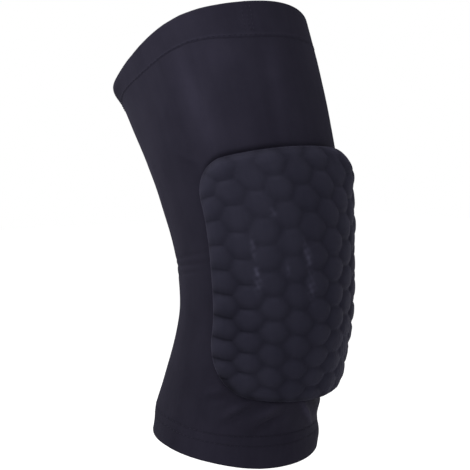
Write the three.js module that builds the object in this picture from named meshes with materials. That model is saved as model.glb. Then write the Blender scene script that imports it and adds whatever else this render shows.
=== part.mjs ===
// Knee sleeve with a honeycomb pad, bent as it is when worn.
// Millimetres. The origin is on the sleeve's middle line at the knee, +Z is up, the pad faces -Y.
import * as THREE from "three";
import { mergeVertices } from "three/addons/utils/BufferGeometryUtils.js";

// Cloth
const SLEEVE_WALL = 1.2;
const HEM_WALL = 2.4;
const HEM_PROUD = 0.4;
const HEM_STEP = 1.0;
const PIECE_GAP = 0.3;

// Where the sleeve ends, measured along its middle line from the knee
const THIGH_EDGE = 167;
const CALF_EDGE = -110;
const THIGH_HEM_HEIGHT = 22;
const CALF_HEM_HEIGHT = 22;

// The sleeve's sections, from the calf end to the thigh end. Lean is in degrees, back from upright.
// Side, front and back are how far the sleeve's outer face stands from the middle line.
const SECTIONS = [
  { station: -112, lean: -11, side: 57.0, front: 53, back: 61 },
  { station: -85, lean: -12, side: 54.0, front: 49, back: 60 },
  { station: -55, lean: -14, side: 53.0, front: 57, back: 52 },
  { station: -20, lean: -9, side: 52.0, front: 59, back: 48 },
  { station: 15, lean: 0, side: 54.5, front: 57, back: 52 },
  { station: 50, lean: 11, side: 58.0, front: 58, back: 59 },
  { station: 90, lean: 20, side: 62.0, front: 59, back: 67 },
  { station: 130, lean: 25, side: 64.5, front: 62, back: 77 },
  { station: 168, lean: 27, side: 66.0, front: 65, back: 85 },
];

// Soft ridges in the cloth below the pad. Angle is from the front towards +X, and slope is
// how steeply the ridge climbs that way, both in degrees.
const FOLDS = [
  { station: -72, angle: -45, slope: 55, length: 10, width: 4.5, height: 1.6 },
  { station: -75, angle: -22, slope: 69, length: 9, width: 4.5, height: 1.4 },
  { station: -76, angle: 20, slope: -46, length: 10, width: 4.5, height: 1.5 },
  { station: -73, angle: 47, slope: -55, length: 10, width: 4.5, height: 1.2 },
];
const FOLDED_FROM = -92;
const FOLDED_TO = -58;

// The pad, measured on the sleeve's face: across it, and along the sleeve
const PAD_TOP = 76;
const PAD_BOTTOM = -57;
const PAD_HALF_WIDTH = 66.5;
const PAD_TOP_HALF_WIDTH = 62.5;
const PAD_TOP_CORNER = 24;
const PAD_BOTTOM_CORNER = 32;
const PAD_CLEARANCE = 0.7;
const PAD_THICKNESS = 9.0;
const PAD_EDGE_HEIGHT = 2.6;
const PAD_EDGE_ROUND = 9;

// The sleeve sits turned a little above the knee, so the pad bears off to the -X side as it climbs:
// how far at its top, and from where up
const PAD_TURN = 14;
const PAD_TURN_FROM = -40;

// The honeycomb: cells stand in columns along the sleeve, each column half a cell off the next.
// The rows grow a little taller towards the thigh end.
const COLUMNS = 9;
const COLUMN_SPACING = 14.2;
const ROW_PITCH = 12.8;
const ROW_GROWTH = 0.1;
const MIDDLE_CELL = 9.1;
const TOP_ROW = 4;
const BOTTOM_ROW = -5;
const OUTER_REACH = 2;

// Each cell rises from the groove round it in rings: how far in towards the cell's middle the
// ring lies, as a share of the way, and how far below the crown it is
const GROOVE_FADE = 6;
const CELL_RINGS = [
  { inset: 0, below: 2.8 },
  { inset: 0.13, below: 0.8 },
  { inset: 0.34, below: 0 },
];

// How finely the faces are cut
const SIDES = 48;
const RING_STEP = 11;
const FOLD_RING_STEP = 4.6;
const AXIS_STEP = 2;
const RIM_STEPS = 4;
const CORNER_STEPS = 5;

// Lengths that count as nothing: points to be joined, and a spot that lies on the pad's outline
const SAME_POINT = 1e-3;
const ON_OUTLINE = 1e-6;

const CLOTH = { color: 0x292833, roughness: 0.78, metalness: 0 };
const PAD_CLOTH = { color: 0x272631, roughness: 0.72, metalness: 0 };

const radians = THREE.MathUtils.degToRad;

// One column of the section table as a smooth curve through its rows
function sectionValue(column, station) {
  const last = SECTIONS.length - 1;
  let low = 0;
  while (low < last - 1 && station > SECTIONS[low + 1].station) {
    low += 1;
  }
  const slope = (row) => {
    const before = SECTIONS[Math.max(row - 1, 0)];
    const after = SECTIONS[Math.min(row + 1, last)];
    return (after[column] - before[column]) / (after.station - before.station);
  };
  const a = SECTIONS[low];
  const b = SECTIONS[low + 1];
  const span = b.station - a.station;
  const t = (station - a.station) / span;
  const rise = t * t * (3 - 2 * t);
  const leave = t * (1 - t) * (1 - t) * span * slope(low);
  const arrive = t * t * (t - 1) * span * slope(low + 1);
  return a[column] + (b[column] - a[column]) * rise + leave + arrive;
}

// The sleeve's middle line, walked from the knee in short steps
function middleLine(station) {
  const steps = Math.max(1, Math.ceil(Math.abs(station) / AXIS_STEP));
  const stride = station / steps;
  let y = 0;
  let z = 0;
  for (let i = 0; i < steps; i += 1) {
    const lean = radians(sectionValue("lean", (i + 0.5) * stride));
    y += Math.sin(lean) * stride;
    z += Math.cos(lean) * stride;
  }
  return { y, z, lean: radians(sectionValue("lean", station)) };
}

// Mean of the sleeve's half width and its front depth, which turns angles into lengths of cloth
function reachAt(station) {
  return (sectionValue("side", station) + sectionValue("front", station)) / 2;
}

// Height of the folds at one place on the sleeve
function foldHeight(station, angle) {
  let height = 0;
  for (const fold of FOLDS) {
    const turns = (angle - radians(fold.angle)) / (2 * Math.PI);
    const around = (turns - Math.round(turns)) * 2 * Math.PI * reachAt(station);
    const along = station - fold.station;
    const slope = radians(fold.slope);
    const lengthwise = around * Math.cos(slope) + along * Math.sin(slope);
    const sideways = along * Math.cos(slope) - around * Math.sin(slope);
    height += fold.height * Math.exp(-((lengthwise / fold.length) ** 2) - (sideways / fold.width) ** 2);
  }
  return height;
}

// A point on the sleeve's outer face, or off it by so many millimetres
function skin(station, angle, off) {
  const line = middleLine(station);
  const side = sectionValue("side", station);
  const depth = sectionValue(Math.cos(angle) > 0 ? "front" : "back", station);
  const normal = new THREE.Vector2(Math.sin(angle) / side, Math.cos(angle) / depth).normalize();
  const stand = off + foldHeight(station, angle);
  const x = side * Math.sin(angle) + stand * normal.x;
  const forward = depth * Math.cos(angle) + stand * normal.y;
  const y = line.y - forward * Math.cos(line.lean);
  return new THREE.Vector3(x, y, line.z + forward * Math.sin(line.lean));
}

// Closed body from points and triangles
function closedBody(points, triangles) {
  const geometry = new THREE.BufferGeometry();
  geometry.setAttribute("position", new THREE.Float32BufferAttribute(points.flatMap((p) => p.toArray()), 3));
  geometry.setIndex(triangles.flat());
  const merged = mergeVertices(geometry, SAME_POINT);
  merged.computeVertexNormals();
  return merged;
}

// Carries a closed wall profile once round the middle line
function wrapRound(profile) {
  const points = [];
  const triangles = [];
  profile.forEach((spot, i) => {
    const next = (i + 1) % profile.length;
    for (let j = 0; j < SIDES; j += 1) {
      const beside = (j + 1) % SIDES;
      points.push(skin(spot.station, (2 * Math.PI * j) / SIDES, spot.off));
      triangles.push([i * SIDES + j, i * SIDES + beside, next * SIDES + beside]);
      triangles.push([i * SIDES + j, next * SIDES + beside, next * SIDES + j]);
    }
  });
  return closedBody(points, triangles);
}

// The sleeve is one layer of cloth, with its rings closer together where it is folded
function makeSleeve() {
  const top = THIGH_EDGE - THIGH_HEM_HEIGHT - PIECE_GAP;
  const stations = [CALF_EDGE + CALF_HEM_HEIGHT + PIECE_GAP];
  while (top - stations.at(-1) > RING_STEP) {
    const here = stations.at(-1);
    const folded = here > FOLDED_FROM && here < FOLDED_TO;
    stations.push(here + (folded ? FOLD_RING_STEP : RING_STEP));
  }
  stations.push(top);
  const outside = stations.map((station) => ({ station, off: 0 }));
  const inside = stations.map((station) => ({ station, off: -SLEEVE_WALL }));
  return wrapRound([...outside, ...inside.reverse()]);
}

// A hem is the cloth's edge folded inwards, so its free rim is round
function makeHem(rim, seam) {
  const inwards = Math.sign(seam - rim);
  const radius = HEM_WALL / 2;
  const middle = HEM_PROUD - radius;
  const profile = [];
  for (let i = 0; i <= RIM_STEPS; i += 1) {
    const turn = (Math.PI * i) / RIM_STEPS;
    const setBack = radius * (1 - Math.sin(turn));
    profile.push({ station: rim + inwards * setBack, off: middle + radius * Math.cos(turn) });
  }
  const half = (rim + seam) / 2;
  profile.push({ station: half, off: middle - radius });
  profile.push({ station: seam, off: middle - radius });
  profile.push({ station: seam, off: 0 });
  profile.push({ station: seam - inwards * HEM_STEP, off: HEM_PROUD });
  profile.push({ station: half, off: HEM_PROUD });
  return wrapRound(inwards > 0 ? profile.reverse() : profile);
}

// The pad's outline on the sleeve, counter-clockwise as seen from the front
function padOutline() {
  const corners = [
    { x: PAD_HALF_WIDTH - PAD_BOTTOM_CORNER, top: false, start: -90 },
    { x: PAD_TOP_HALF_WIDTH - PAD_TOP_CORNER, top: true, start: 0 },
    { x: PAD_TOP_CORNER - PAD_TOP_HALF_WIDTH, top: true, start: 90 },
    { x: PAD_BOTTOM_CORNER - PAD_HALF_WIDTH, top: false, start: 180 },
  ];
  const outline = [];
  for (const corner of corners) {
    const radius = corner.top ? PAD_TOP_CORNER : PAD_BOTTOM_CORNER;
    const centre = new THREE.Vector2(corner.x, corner.top ? PAD_TOP - radius : PAD_BOTTOM + radius);
    for (let i = 0; i <= CORNER_STEPS; i += 1) {
      const turn = radians(corner.start + (90 * i) / CORNER_STEPS);
      const arm = new THREE.Vector2(Math.cos(turn), Math.sin(turn)).multiplyScalar(radius);
      outline.push(arm.add(centre));
    }
  }
  return outline;
}

// How far inside the line of one edge a spot lies
function insideEdge(spot, from, to) {
  const along = to.clone().sub(from).normalize();
  return along.cross(spot.clone().sub(from));
}

// How far inside the whole outline a spot lies
function insideOutline(spot, outline) {
  const depths = outline.map((from, i) => insideEdge(spot, from, outline[(i + 1) % outline.length]));
  return Math.max(0, Math.min(...depths));
}

// The part of a cell on the inner side of one edge of the outline
function trimByEdge(cell, from, to) {
  const kept = [];
  cell.forEach((here, i) => {
    const there = cell[(i + 1) % cell.length];
    const a = insideEdge(here, from, to);
    const b = insideEdge(there, from, to);
    if (a >= 0) {
      kept.push(here);
    }
    if (a * b < 0) {
      kept.push(here.clone().lerp(there, a / (a - b)));
    }
  });
  return kept;
}

// Where a row lies along the sleeve
function rowStation(row) {
  return MIDDLE_CELL + row * ROW_PITCH + ROW_GROWTH * row * row;
}

// Corners of one cell, counter-clockwise. A cell in the top or bottom row takes in the one beyond
// it, and the outer columns run straight out to the pad's sides.
function cellCorners(column, row) {
  const outermost = (COLUMNS - 1) / 2;
  const middle = row + (column % 2 === 0 ? 0 : 0.5);
  const halfRowsUp = row === TOP_ROW ? 3 : 1;
  const halfRowsDown = row === BOTTOM_ROW ? 3 : 1;
  const right = [];
  const left = [];
  for (let half = -halfRowsDown; half <= halfRowsUp; half += 1) {
    const reach = half % 2 === 0 ? 2 / 3 : 1 / 3;
    const along = rowStation(middle + half / 2);
    const rightReach = column === outermost ? OUTER_REACH : reach;
    const leftReach = column === -outermost ? OUTER_REACH : reach;
    right.push(new THREE.Vector2((column + rightReach) * COLUMN_SPACING, along));
    left.push(new THREE.Vector2((column - leftReach) * COLUMN_SPACING, along));
  }
  return [...right, ...left.reverse()];
}

// Height of the pad's face above its back: round at the outline, lower in the grooves
function padHeight(depth, below) {
  const inward = Math.min(depth / PAD_EDGE_ROUND, 1);
  const round = Math.sqrt(1 - (1 - inward) ** 2);
  const crown = PAD_EDGE_HEIGHT + (PAD_THICKNESS - PAD_EDGE_HEIGHT) * round;
  return crown - below * Math.min(depth / GROOVE_FADE, 1);
}

// Puts a spot of the flat pad on the sleeve, so high above the pad's back
function onSleeve(spot, height) {
  const share = Math.max(spot.y - PAD_TURN_FROM, 0) / (PAD_TOP - PAD_TURN_FROM);
  const across = spot.x - PAD_TURN * share ** 2;
  return skin(spot.y, across / reachAt(spot.y), PAD_CLEARANCE + height);
}

function makePad() {
  const outline = padOutline();
  const points = [];
  const triangles = [];
  const addPoint = (spot, height) => points.push(onSleeve(spot, height)) - 1;

  const addCell = (corners) => {
    const count = corners.length;
    const middle = corners.reduce((sum, corner) => sum.add(corner), new THREE.Vector2()).divideScalar(count);
    const rings = CELL_RINGS.map(({ inset, below }) =>
      corners.map((corner) => {
        const spot = corner.clone().lerp(middle, inset);
        return addPoint(spot, padHeight(insideOutline(spot, outline), below));
      }),
    );
    const back = corners.map((corner) => addPoint(corner, 0));
    const crown = addPoint(middle, padHeight(insideOutline(middle, outline), 0));
    const seat = addPoint(middle, 0);
    const crownRing = rings.at(-1);
    for (let i = 0; i < count; i += 1) {
      const j = (i + 1) % count;
      for (let r = 0; r + 1 < rings.length; r += 1) {
        triangles.push([rings[r][i], rings[r][j], rings[r + 1][j]]);
        triangles.push([rings[r][i], rings[r + 1][j], rings[r + 1][i]]);
      }
      triangles.push([crownRing[i], crownRing[j], crown]);
      triangles.push([back[j], back[i], seat]);
      const halfway = corners[i].clone().lerp(corners[j], 0.5);
      if (insideOutline(halfway, outline) < ON_OUTLINE) {
        triangles.push([rings[0][i], back[i], back[j]]);
        triangles.push([rings[0][i], back[j], rings[0][j]]);
      }
    }
  };

  const outermost = (COLUMNS - 1) / 2;
  for (let column = -outermost; column <= outermost; column += 1) {
    for (let row = BOTTOM_ROW; row <= TOP_ROW; row += 1) {
      let cell = cellCorners(column, row);
      outline.forEach((from, i) => {
        cell = trimByEdge(cell, from, outline[(i + 1) % outline.length]);
      });
      if (cell.length > 2) {
        addCell(cell);
      }
    }
  }
  return closedBody(points, triangles);
}

const kneeSleeve = new THREE.Group();

function addPiece(name, geometry, finish) {
  const mesh = new THREE.Mesh(geometry, new THREE.MeshStandardMaterial(finish));
  mesh.name = name;
  kneeSleeve.add(mesh);
}

addPiece("sleeve", makeSleeve(), CLOTH);
addPiece("thigh_hem", makeHem(THIGH_EDGE, THIGH_EDGE - THIGH_HEM_HEIGHT), CLOTH);
addPiece("calf_hem", makeHem(CALF_EDGE, CALF_EDGE + CALF_HEM_HEIGHT), CLOTH);
addPiece("honeycomb_pad", makePad(), PAD_CLOTH);

export default kneeSleeve;
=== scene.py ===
# %% [markdown]
# # A padded knee sleeve
# This lesson dresses a packed CAD model of a stretch-knit knee sleeve with a honeycomb pad.
# The CAD model gives the place and the size of every piece. Blender gives the fine cloth: the
# turned hems, the stitches, the soft foam cells, and the light that shows them. Lengths on the
# cloth are given in millimetres, and places in the studio in metres.

import bpy
import numpy as np
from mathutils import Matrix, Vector


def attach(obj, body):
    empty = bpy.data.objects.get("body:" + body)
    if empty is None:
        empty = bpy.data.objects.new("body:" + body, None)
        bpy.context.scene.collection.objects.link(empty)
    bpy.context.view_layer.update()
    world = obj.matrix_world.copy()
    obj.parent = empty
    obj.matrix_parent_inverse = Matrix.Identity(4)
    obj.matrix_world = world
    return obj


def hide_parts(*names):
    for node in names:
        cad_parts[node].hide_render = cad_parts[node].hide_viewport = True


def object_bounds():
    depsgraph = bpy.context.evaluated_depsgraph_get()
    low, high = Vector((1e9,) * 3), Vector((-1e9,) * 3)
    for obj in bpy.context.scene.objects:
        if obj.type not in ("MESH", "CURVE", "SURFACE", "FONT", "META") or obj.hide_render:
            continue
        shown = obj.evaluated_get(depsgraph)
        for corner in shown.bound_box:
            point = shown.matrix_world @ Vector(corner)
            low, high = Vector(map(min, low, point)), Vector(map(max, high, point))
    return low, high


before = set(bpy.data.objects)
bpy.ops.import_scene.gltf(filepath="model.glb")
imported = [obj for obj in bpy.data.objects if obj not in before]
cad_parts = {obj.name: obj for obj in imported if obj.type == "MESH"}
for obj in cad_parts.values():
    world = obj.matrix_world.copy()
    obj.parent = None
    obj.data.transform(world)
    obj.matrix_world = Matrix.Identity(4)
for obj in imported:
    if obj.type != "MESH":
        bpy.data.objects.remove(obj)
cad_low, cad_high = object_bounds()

MM = 0.001
print("CAD box in mm:", [round((b - a) / MM, 1) for a, b in zip(cad_low, cad_high)])

# %% [markdown]
# ## The shape under the cloth
# A worn sleeve keeps a bent, swelling shape, so everything here hangs on one bent tube. A table
# gives its sections: how far along it each one lies from the origin, how far the tube leans back
# there, and how far the cloth stands out to the side, the front and the back. A smooth curve
# through each column gives every section between. This could be a loft of drawn curves, but a
# formula lets the pad and the stitches ask for any point of the cloth by the same two numbers.

# %% The table of sections
STATION, LEAN, SIDE, FRONT, BACK = range(5)
SECTIONS = np.array([
    (-112, -11, 57.0, 53, 61),
    (-85, -12, 54.0, 49, 60),
    (-55, -14, 53.0, 57, 52),
    (-20, -9, 52.0, 59, 48),
    (15, 0, 54.5, 57, 52),
    (50, 11, 58.0, 58, 59),
    (90, 20, 62.0, 59, 67),
    (130, 25, 64.5, 62, 77),
    (168, 27, 66.0, 65, 85),
], float)


def section_value(column, station):
    """One column of the table as a smooth curve through its rows."""
    rows = SECTIONS[:, STATION]
    values = SECTIONS[:, column]
    slope = np.empty(len(rows))
    slope[1:-1] = (values[2:] - values[:-2]) / (rows[2:] - rows[:-2])
    slope[0] = (values[1] - values[0]) / (rows[1] - rows[0])
    slope[-1] = (values[-1] - values[-2]) / (rows[-1] - rows[-2])
    low = np.clip(np.searchsorted(rows, station) - 1, 0, len(rows) - 2)
    span = rows[low + 1] - rows[low]
    t = (station - rows[low]) / span
    climb = t * t * (3 - 2 * t)
    leave = t * (1 - t) ** 2 * span * slope[low]
    arrive = t * t * (t - 1) * span * slope[low + 1]
    return values[low] + (values[low + 1] - values[low]) * climb + leave + arrive


print(len(SECTIONS), "sections, from", SECTIONS[0, STATION], "to", SECTIONS[-1, STATION], "mm")

# %% The tube's middle line, walked in steps of 1 mm
WALK = np.arange(-115.0, 172.0)
walk_lean = np.radians(section_value(LEAN, (WALK[1:] + WALK[:-1]) / 2))
walk_y = np.concatenate([[0], np.cumsum(np.sin(walk_lean))])
walk_z = np.concatenate([[0], np.cumsum(np.cos(walk_lean))])
walk_y -= np.interp(0, WALK, walk_y)
walk_z -= np.interp(0, WALK, walk_z)


def reach_at(station):
    """The mean of half width and front depth, which turns an angle into a length of cloth."""
    return (section_value(SIDE, station) + section_value(FRONT, station)) / 2


def skin(station, angle, off):
    """Points of the sleeve's outer face, or off it by so many millimetres. Angle 0 is the front."""
    station, angle, off = np.broadcast_arrays(station, angle, off)
    lean = np.radians(section_value(LEAN, station))
    side = section_value(SIDE, station)
    front = section_value(FRONT, station)
    back = section_value(BACK, station)
    depth = np.where(np.cos(angle) > 0, front, back)
    across = np.sin(angle) / side
    ahead = np.cos(angle) / depth
    length = np.hypot(across, ahead)
    x = side * np.sin(angle) + off * across / length
    forward = depth * np.cos(angle) + off * ahead / length
    y = np.interp(station, WALK, walk_y) - forward * np.cos(lean)
    z = np.interp(station, WALK, walk_z) + forward * np.sin(lean)
    return np.stack([x, y, z], axis=-1)


ring = skin(0.0, np.radians(np.arange(361)), 0.0)
girth = np.linalg.norm(np.diff(ring, axis=0), axis=1).sum()
print("girth at the bend:", round(float(girth)), "mm")

# %% [markdown]
# ## The camera
# The object is seen from its left front, a little from above, with a long lens, so that near and
# far parts hardly differ in size. It could be set by eye in the viewport. Here it is set by where
# the sleeve's origin falls in the picture and by how many millimetres one pixel covers there, so
# that it can be measured and comes out the same on every run.

# %% Camera
PICTURE_PX = 470
ORIGIN_PX = (257, 285)
MM_PER_PX = 0.67
CAMERA_AZIMUTH = -38
CAMERA_ELEVATION = 4
CAMERA_DISTANCE = 0.9
SENSOR_MM = 36


def view_axes(azimuth, elevation):
    """The camera's right, up and back directions."""
    a = np.radians(azimuth)
    e = np.radians(elevation)
    back = Vector((np.sin(a) * np.cos(e), -np.cos(a) * np.cos(e), np.sin(e)))
    right = Vector((np.cos(a), np.sin(a), 0))
    return right, back.cross(right), back


def make_camera():
    right, up, back = view_axes(CAMERA_AZIMUTH, CAMERA_ELEVATION)
    middle = PICTURE_PX / 2
    pixel = MM_PER_PX * MM
    aim = right * ((middle - ORIGIN_PX[0]) * pixel) + up * ((ORIGIN_PX[1] - middle) * pixel)
    data = bpy.data.cameras.new("camera")
    data.sensor_width = SENSOR_MM
    data.lens = SENSOR_MM * CAMERA_DISTANCE / (PICTURE_PX * pixel)
    camera = bpy.data.objects.new("camera", data)
    camera.location = aim + back * CAMERA_DISTANCE
    camera.rotation_mode = "QUATERNION"
    camera.rotation_quaternion = (-back).to_track_quat("-Z", "Y")
    bpy.context.scene.collection.objects.link(camera)
    bpy.context.scene.camera = camera
    return camera


camera = make_camera()
print("lens", round(camera.data.lens, 1), "mm")

# %% [markdown]
# ## Hem lines that wander
# Worn cloth is pulled unevenly, so neither the rim of a hem nor its seam runs level round the tube.
# The points could be nudged by hand or with a lattice. A small table is easier to read: it says how
# far each line lies off its level at a few places round the tube, and the cloth between two lines
# moves with them, so that sleeve, hems and stitches stay together. The two lines with no wander
# fence off the pad.

# %% Wander of the hem lines
WANDER_ANGLES = (-120, -95, -55, -20, 25, 60, 110, 180)
WANDER = {
    -110: (-1.5, 0.8, 1.3, -0.2, 1, 2, 0.5, 0),
    -88: (-4.6, -2.2, -0.6, 1.2, 1.5, 0, 0, -3),
    -62: (0, 0, 0, 0, 0, 0, 0, 0),
    110: (0, 0, 0, 0, 0, 0, 0, 0),
    145: (8, 1.5, 4.8, -3.2, -2.5, 1, 3, 3),
    167: (-1, -2.2, 3, 0.2, 0.6, 0, 0, 0),
}
WANDER_BLUR = (-12, 0, 12)


def worn(station, angle):
    """Where a spot of the level sleeve lies along the tube once the cloth is pulled."""
    degrees = np.degrees(angle)
    lines = list(WANDER)
    moved = np.asarray(station, float)
    for line, wander in WANDER.items():
        near = np.interp(station, lines, [float(other == line) for other in lines])
        left, here, right = (np.interp(degrees + turn, WANDER_ANGLES, wander, period=360)
                             for turn in WANDER_BLUR)
        moved = moved + near * (left + 2 * here + right) / 4
    return moved


print("hem lines:", [line for line in WANDER if any(WANDER[line])])

# %% [markdown]
# ## Helpers that turn arrays into cloth
# Cloth needs thousands of points. Adding them one by one in bmesh would be slow, so they are worked
# out as arrays and handed to Blender at once. Each face corner also gets a place in the cloth in
# metres, round the tube and along it, which the knit pattern reads later. A hem or the sleeve is a
# closed wall profile that is carried once round the tube.

# %% A mesh from arrays
CLOTH_LAYER = "cloth"


def make_piece(name, points_mm, faces, cloth_mm=None, marks=None):
    """A smooth mesh from points in millimetres. marks are numbers for each point, by name."""
    mesh = bpy.data.meshes.new(name)
    mesh.from_pydata((np.asarray(points_mm) * MM).tolist(), [], [list(map(int, f)) for f in faces])
    mesh.shade_smooth()
    if cloth_mm is not None:
        layer = mesh.uv_layers.new(name=CLOTH_LAYER)
        layer.data.foreach_set("uv", (np.asarray(cloth_mm) * MM).ravel().astype(np.float32))
    for mark, values in (marks or {}).items():
        attribute = mesh.attributes.new(mark, "FLOAT", "POINT")
        attribute.data.foreach_set("value", np.asarray(values).ravel().astype(np.float32))
    piece = bpy.data.objects.new(name, mesh)
    bpy.context.scene.collection.objects.link(piece)
    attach(piece, "root")
    return piece


print("the cloth's measure is kept in the layer", CLOTH_LAYER)

# %% A wall carried round the tube
CLOTH_RADIUS = 58.0


def wrap_round(name, stations, offs, sides, relief, openness):
    """A closed wall profile carried round the tube. relief(station, angle) moves it in and out, and the
    tone given with it holds painted light and shade.
    """
    stations = np.asarray(stations, float)
    offs = np.asarray(offs, float)
    count = len(stations)
    angles = np.linspace(-np.pi, np.pi, sides, endpoint=False)
    grid = np.meshgrid(stations, angles, indexing="ij")
    points = skin(worn(*grid), grid[1], offs[:, None] + relief(*grid)).reshape(-1, 3)
    i, j = (a.ravel() for a in np.meshgrid(np.arange(count), np.arange(sides), indexing="ij"))
    i2, j2 = (i + 1) % count, (j + 1) % sides
    faces = np.stack([i * sides + j, i * sides + j2, i2 * sides + j2, i2 * sides + j], axis=1)
    steps = np.hypot(np.roll(stations, -1) - stations, np.roll(offs, -1) - offs)
    along = np.concatenate([[0], np.cumsum(steps)])
    around = CLOTH_RADIUS * 2 * np.pi / sides
    corners = [(j, i), (j + 1, i), (j + 1, i + 1), (j, i + 1)]
    cloth = np.stack([np.stack([a * around, along[b]], axis=1) for a, b in corners], axis=1)
    return make_piece(name, points, faces, cloth.reshape(-1, 2), {"open": openness(*grid)})


print("cloth round the tube is measured at a radius of", CLOTH_RADIUS, "mm")

# %% [markdown]
# ## Where the pad lies
# The pad is laid out flat first, as a tapered rectangle with round corners, measured across the
# front and along the tube. A drawn curve could hold this outline too, but the sleeve has to ask how
# far any spot lies from it, because the cloth is drawn in along the pad's edge. On the tube the pad
# is turned a little to one side as it climbs.

# %% The pad's outline
PAD_TOP = 76
PAD_BOTTOM = -57
PAD_HALF_WIDTH = 66.5
PAD_TOP_HALF_WIDTH = 62.5
PAD_TOP_CORNER = 24
PAD_BOTTOM_CORNER = 32


def straight_half_width(along):
    """Half the pad's width between its sides, corners not counted."""
    ends = (PAD_BOTTOM + PAD_BOTTOM_CORNER, PAD_TOP - PAD_TOP_CORNER)
    return np.interp(along, ends, (PAD_HALF_WIDTH, PAD_TOP_HALF_WIDTH))


def half_width_at(along):
    """Half the pad's width at a place along it, narrower inside the rounded corners."""
    into_top = np.clip(along - (PAD_TOP - PAD_TOP_CORNER), 0, PAD_TOP_CORNER)
    into_bottom = np.clip((PAD_BOTTOM + PAD_BOTTOM_CORNER) - along, 0, PAD_BOTTOM_CORNER)
    top_cut = PAD_TOP_CORNER - np.sqrt(PAD_TOP_CORNER**2 - into_top**2)
    bottom_cut = PAD_BOTTOM_CORNER - np.sqrt(PAD_BOTTOM_CORNER**2 - into_bottom**2)
    return straight_half_width(along) - top_cut - bottom_cut


def inside_outline(across, along):
    """How far inside the pad's outline a spot lies. Outside, it is less than nothing."""
    x = np.abs(across)
    half = straight_half_width(along)
    distance = np.minimum(half - x, np.minimum(PAD_TOP - along, along - PAD_BOTTOM))
    for radius, y in ((PAD_TOP_CORNER, along - (PAD_TOP - PAD_TOP_CORNER)),
                      (PAD_BOTTOM_CORNER, PAD_BOTTOM + PAD_BOTTOM_CORNER - along)):
        dx = x - (half - radius)
        distance = np.where((dx > 0) & (y > 0), radius - np.hypot(dx, y), distance)
    return distance


print("pad outline:", 2 * PAD_HALF_WIDTH, "mm across and", PAD_TOP - PAD_BOTTOM, "mm along")

# %% From the flat pad to the tube
PAD_TURN = 14
PAD_TURN_FROM = -40
PAD_CLEARANCE = 0.7


def turned_by(along):
    """How far the pad's middle has moved to the left of the front at a place along the tube."""
    share = np.maximum(along - PAD_TURN_FROM, 0) / (PAD_TOP - PAD_TURN_FROM)
    return PAD_TURN * share**2


def on_sleeve(across, along, height):
    """Puts spots of the flat pad on the sleeve, so high above the pad's back."""
    return skin(along, (across - turned_by(along)) / reach_at(along), PAD_CLEARANCE + height)


print("the pad's top bears", PAD_TURN, "mm to the left")

# %% [markdown]
# ## Folds and creases
# Stretch knit lies smooth, but not everywhere. Below the pad it slackens into soft ridges, in the
# hollow of the bend it gathers into fine creases, and along the pad's edge it is drawn in. Each fold
# is one row: its place, the way it runs, its length, width and height. A cloth simulation could make
# such folds, though not these ones in these places, so they are listed one by one.

# %% Folds
FOLD_STATION, FOLD_ANGLE, FOLD_SLOPE, FOLD_LENGTH, FOLD_WIDTH, FOLD_HEIGHT = range(6)
FOLDS = np.array([
    # ridges below the pad
    (-66, -42, 56, 10, 4.2, 2.4),
    (-67, -22, 56, 10, 5.0, 3.2),
    (-72, 14, -48, 14, 2.0, 2.4),
    (-60, -62, 24, 8, 3.5, 0.8),
    # hollows between the ridges
    (-73, -41, 52, 10, 2.8, -2.0),
    (-79, -18, 46, 10, 3.6, -3.0),
    (-63, 46, -8, 20, 5.5, -6.0),
    (-62, -56, 30, 8, 2.6, -1.2),
    # creases in the hollow of the bend, the same on both sides
    (21, -102, 8, 24, 1.3, -0.55),
    (15.5, -104, 6, 26, 1.4, -0.7),
    (9.5, -103, 10, 22, 1.3, -0.55),
    (21, 102, -8, 24, 1.3, -0.55),
    (15.5, 104, -6, 26, 1.4, -0.7),
    (9.5, 103, -10, 22, 1.3, -0.55),
    (13, 180, 0, 40, 1.8, -0.8),
    (4, 176, 3, 34, 1.8, -0.6),
    (22, 184, -3, 32, 1.8, -0.6),
    # pulls at the pad's upper corners and above it
    (82, -76, -38, 9, 2.2, 0.5),
    (82, 56, 38, 9, 2.2, 0.5),
    (114, -55, 84, 10, 1.6, -0.3),
    (118, -20, 88, 30, 6.0, 0.25),
    # broad swells, where the cloth stands a little further out
    (162, -128, 0, 14, 10, 2.6),
    (60, -128, 0, 20, 45, 0.9),
    (-90, -128, 0, 18, 9, 1.2),
    (-99, 52, 0, 14, 8, 1.8),
], float)


def fold_height(station, angle):
    """Height of all the folds at places on the sleeve."""
    reach = reach_at(station)
    height = np.zeros(np.shape(station))
    for fold in FOLDS:
        turns = (angle - np.radians(fold[FOLD_ANGLE])) / (2 * np.pi)
        around = (turns - np.round(turns)) * 2 * np.pi * reach
        along = station - fold[FOLD_STATION]
        slope = np.radians(fold[FOLD_SLOPE])
        lengthwise = around * np.cos(slope) + along * np.sin(slope)
        sideways = along * np.cos(slope) - around * np.sin(slope)
        shape = (lengthwise / fold[FOLD_LENGTH]) ** 2 + (sideways / fold[FOLD_WIDTH]) ** 2
        height += fold[FOLD_HEIGHT] * np.exp(-shape)
    return height


print(len(FOLDS), "folds and creases")

# %% The cloth drawn in along the pad
SEAT_DEPTH = 1.8
SEAT_WIDTH = 1.6
SEAT_AT_SIDES = 0.2
# share of the depth and of the painted shade along the pad's top and along its bottom, at the left end
# and at the right
SEAT_ABOVE = (0.65, 0.4)
SEAT_BELOW = (0.4, 1.15)
RIPPLE = 0.10


def rise(value, start, end):
    """0 before start and 1 past end, with a smooth climb between. The end may lie below the start."""
    t = np.clip((value - start) / (end - start), 0, 1)
    return t * t * (3 - 2 * t)


def between(pair, share):
    """The first of a pair where the share is 0, the second where it is 1."""
    return pair[0] + (pair[1] - pair[0]) * share


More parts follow.
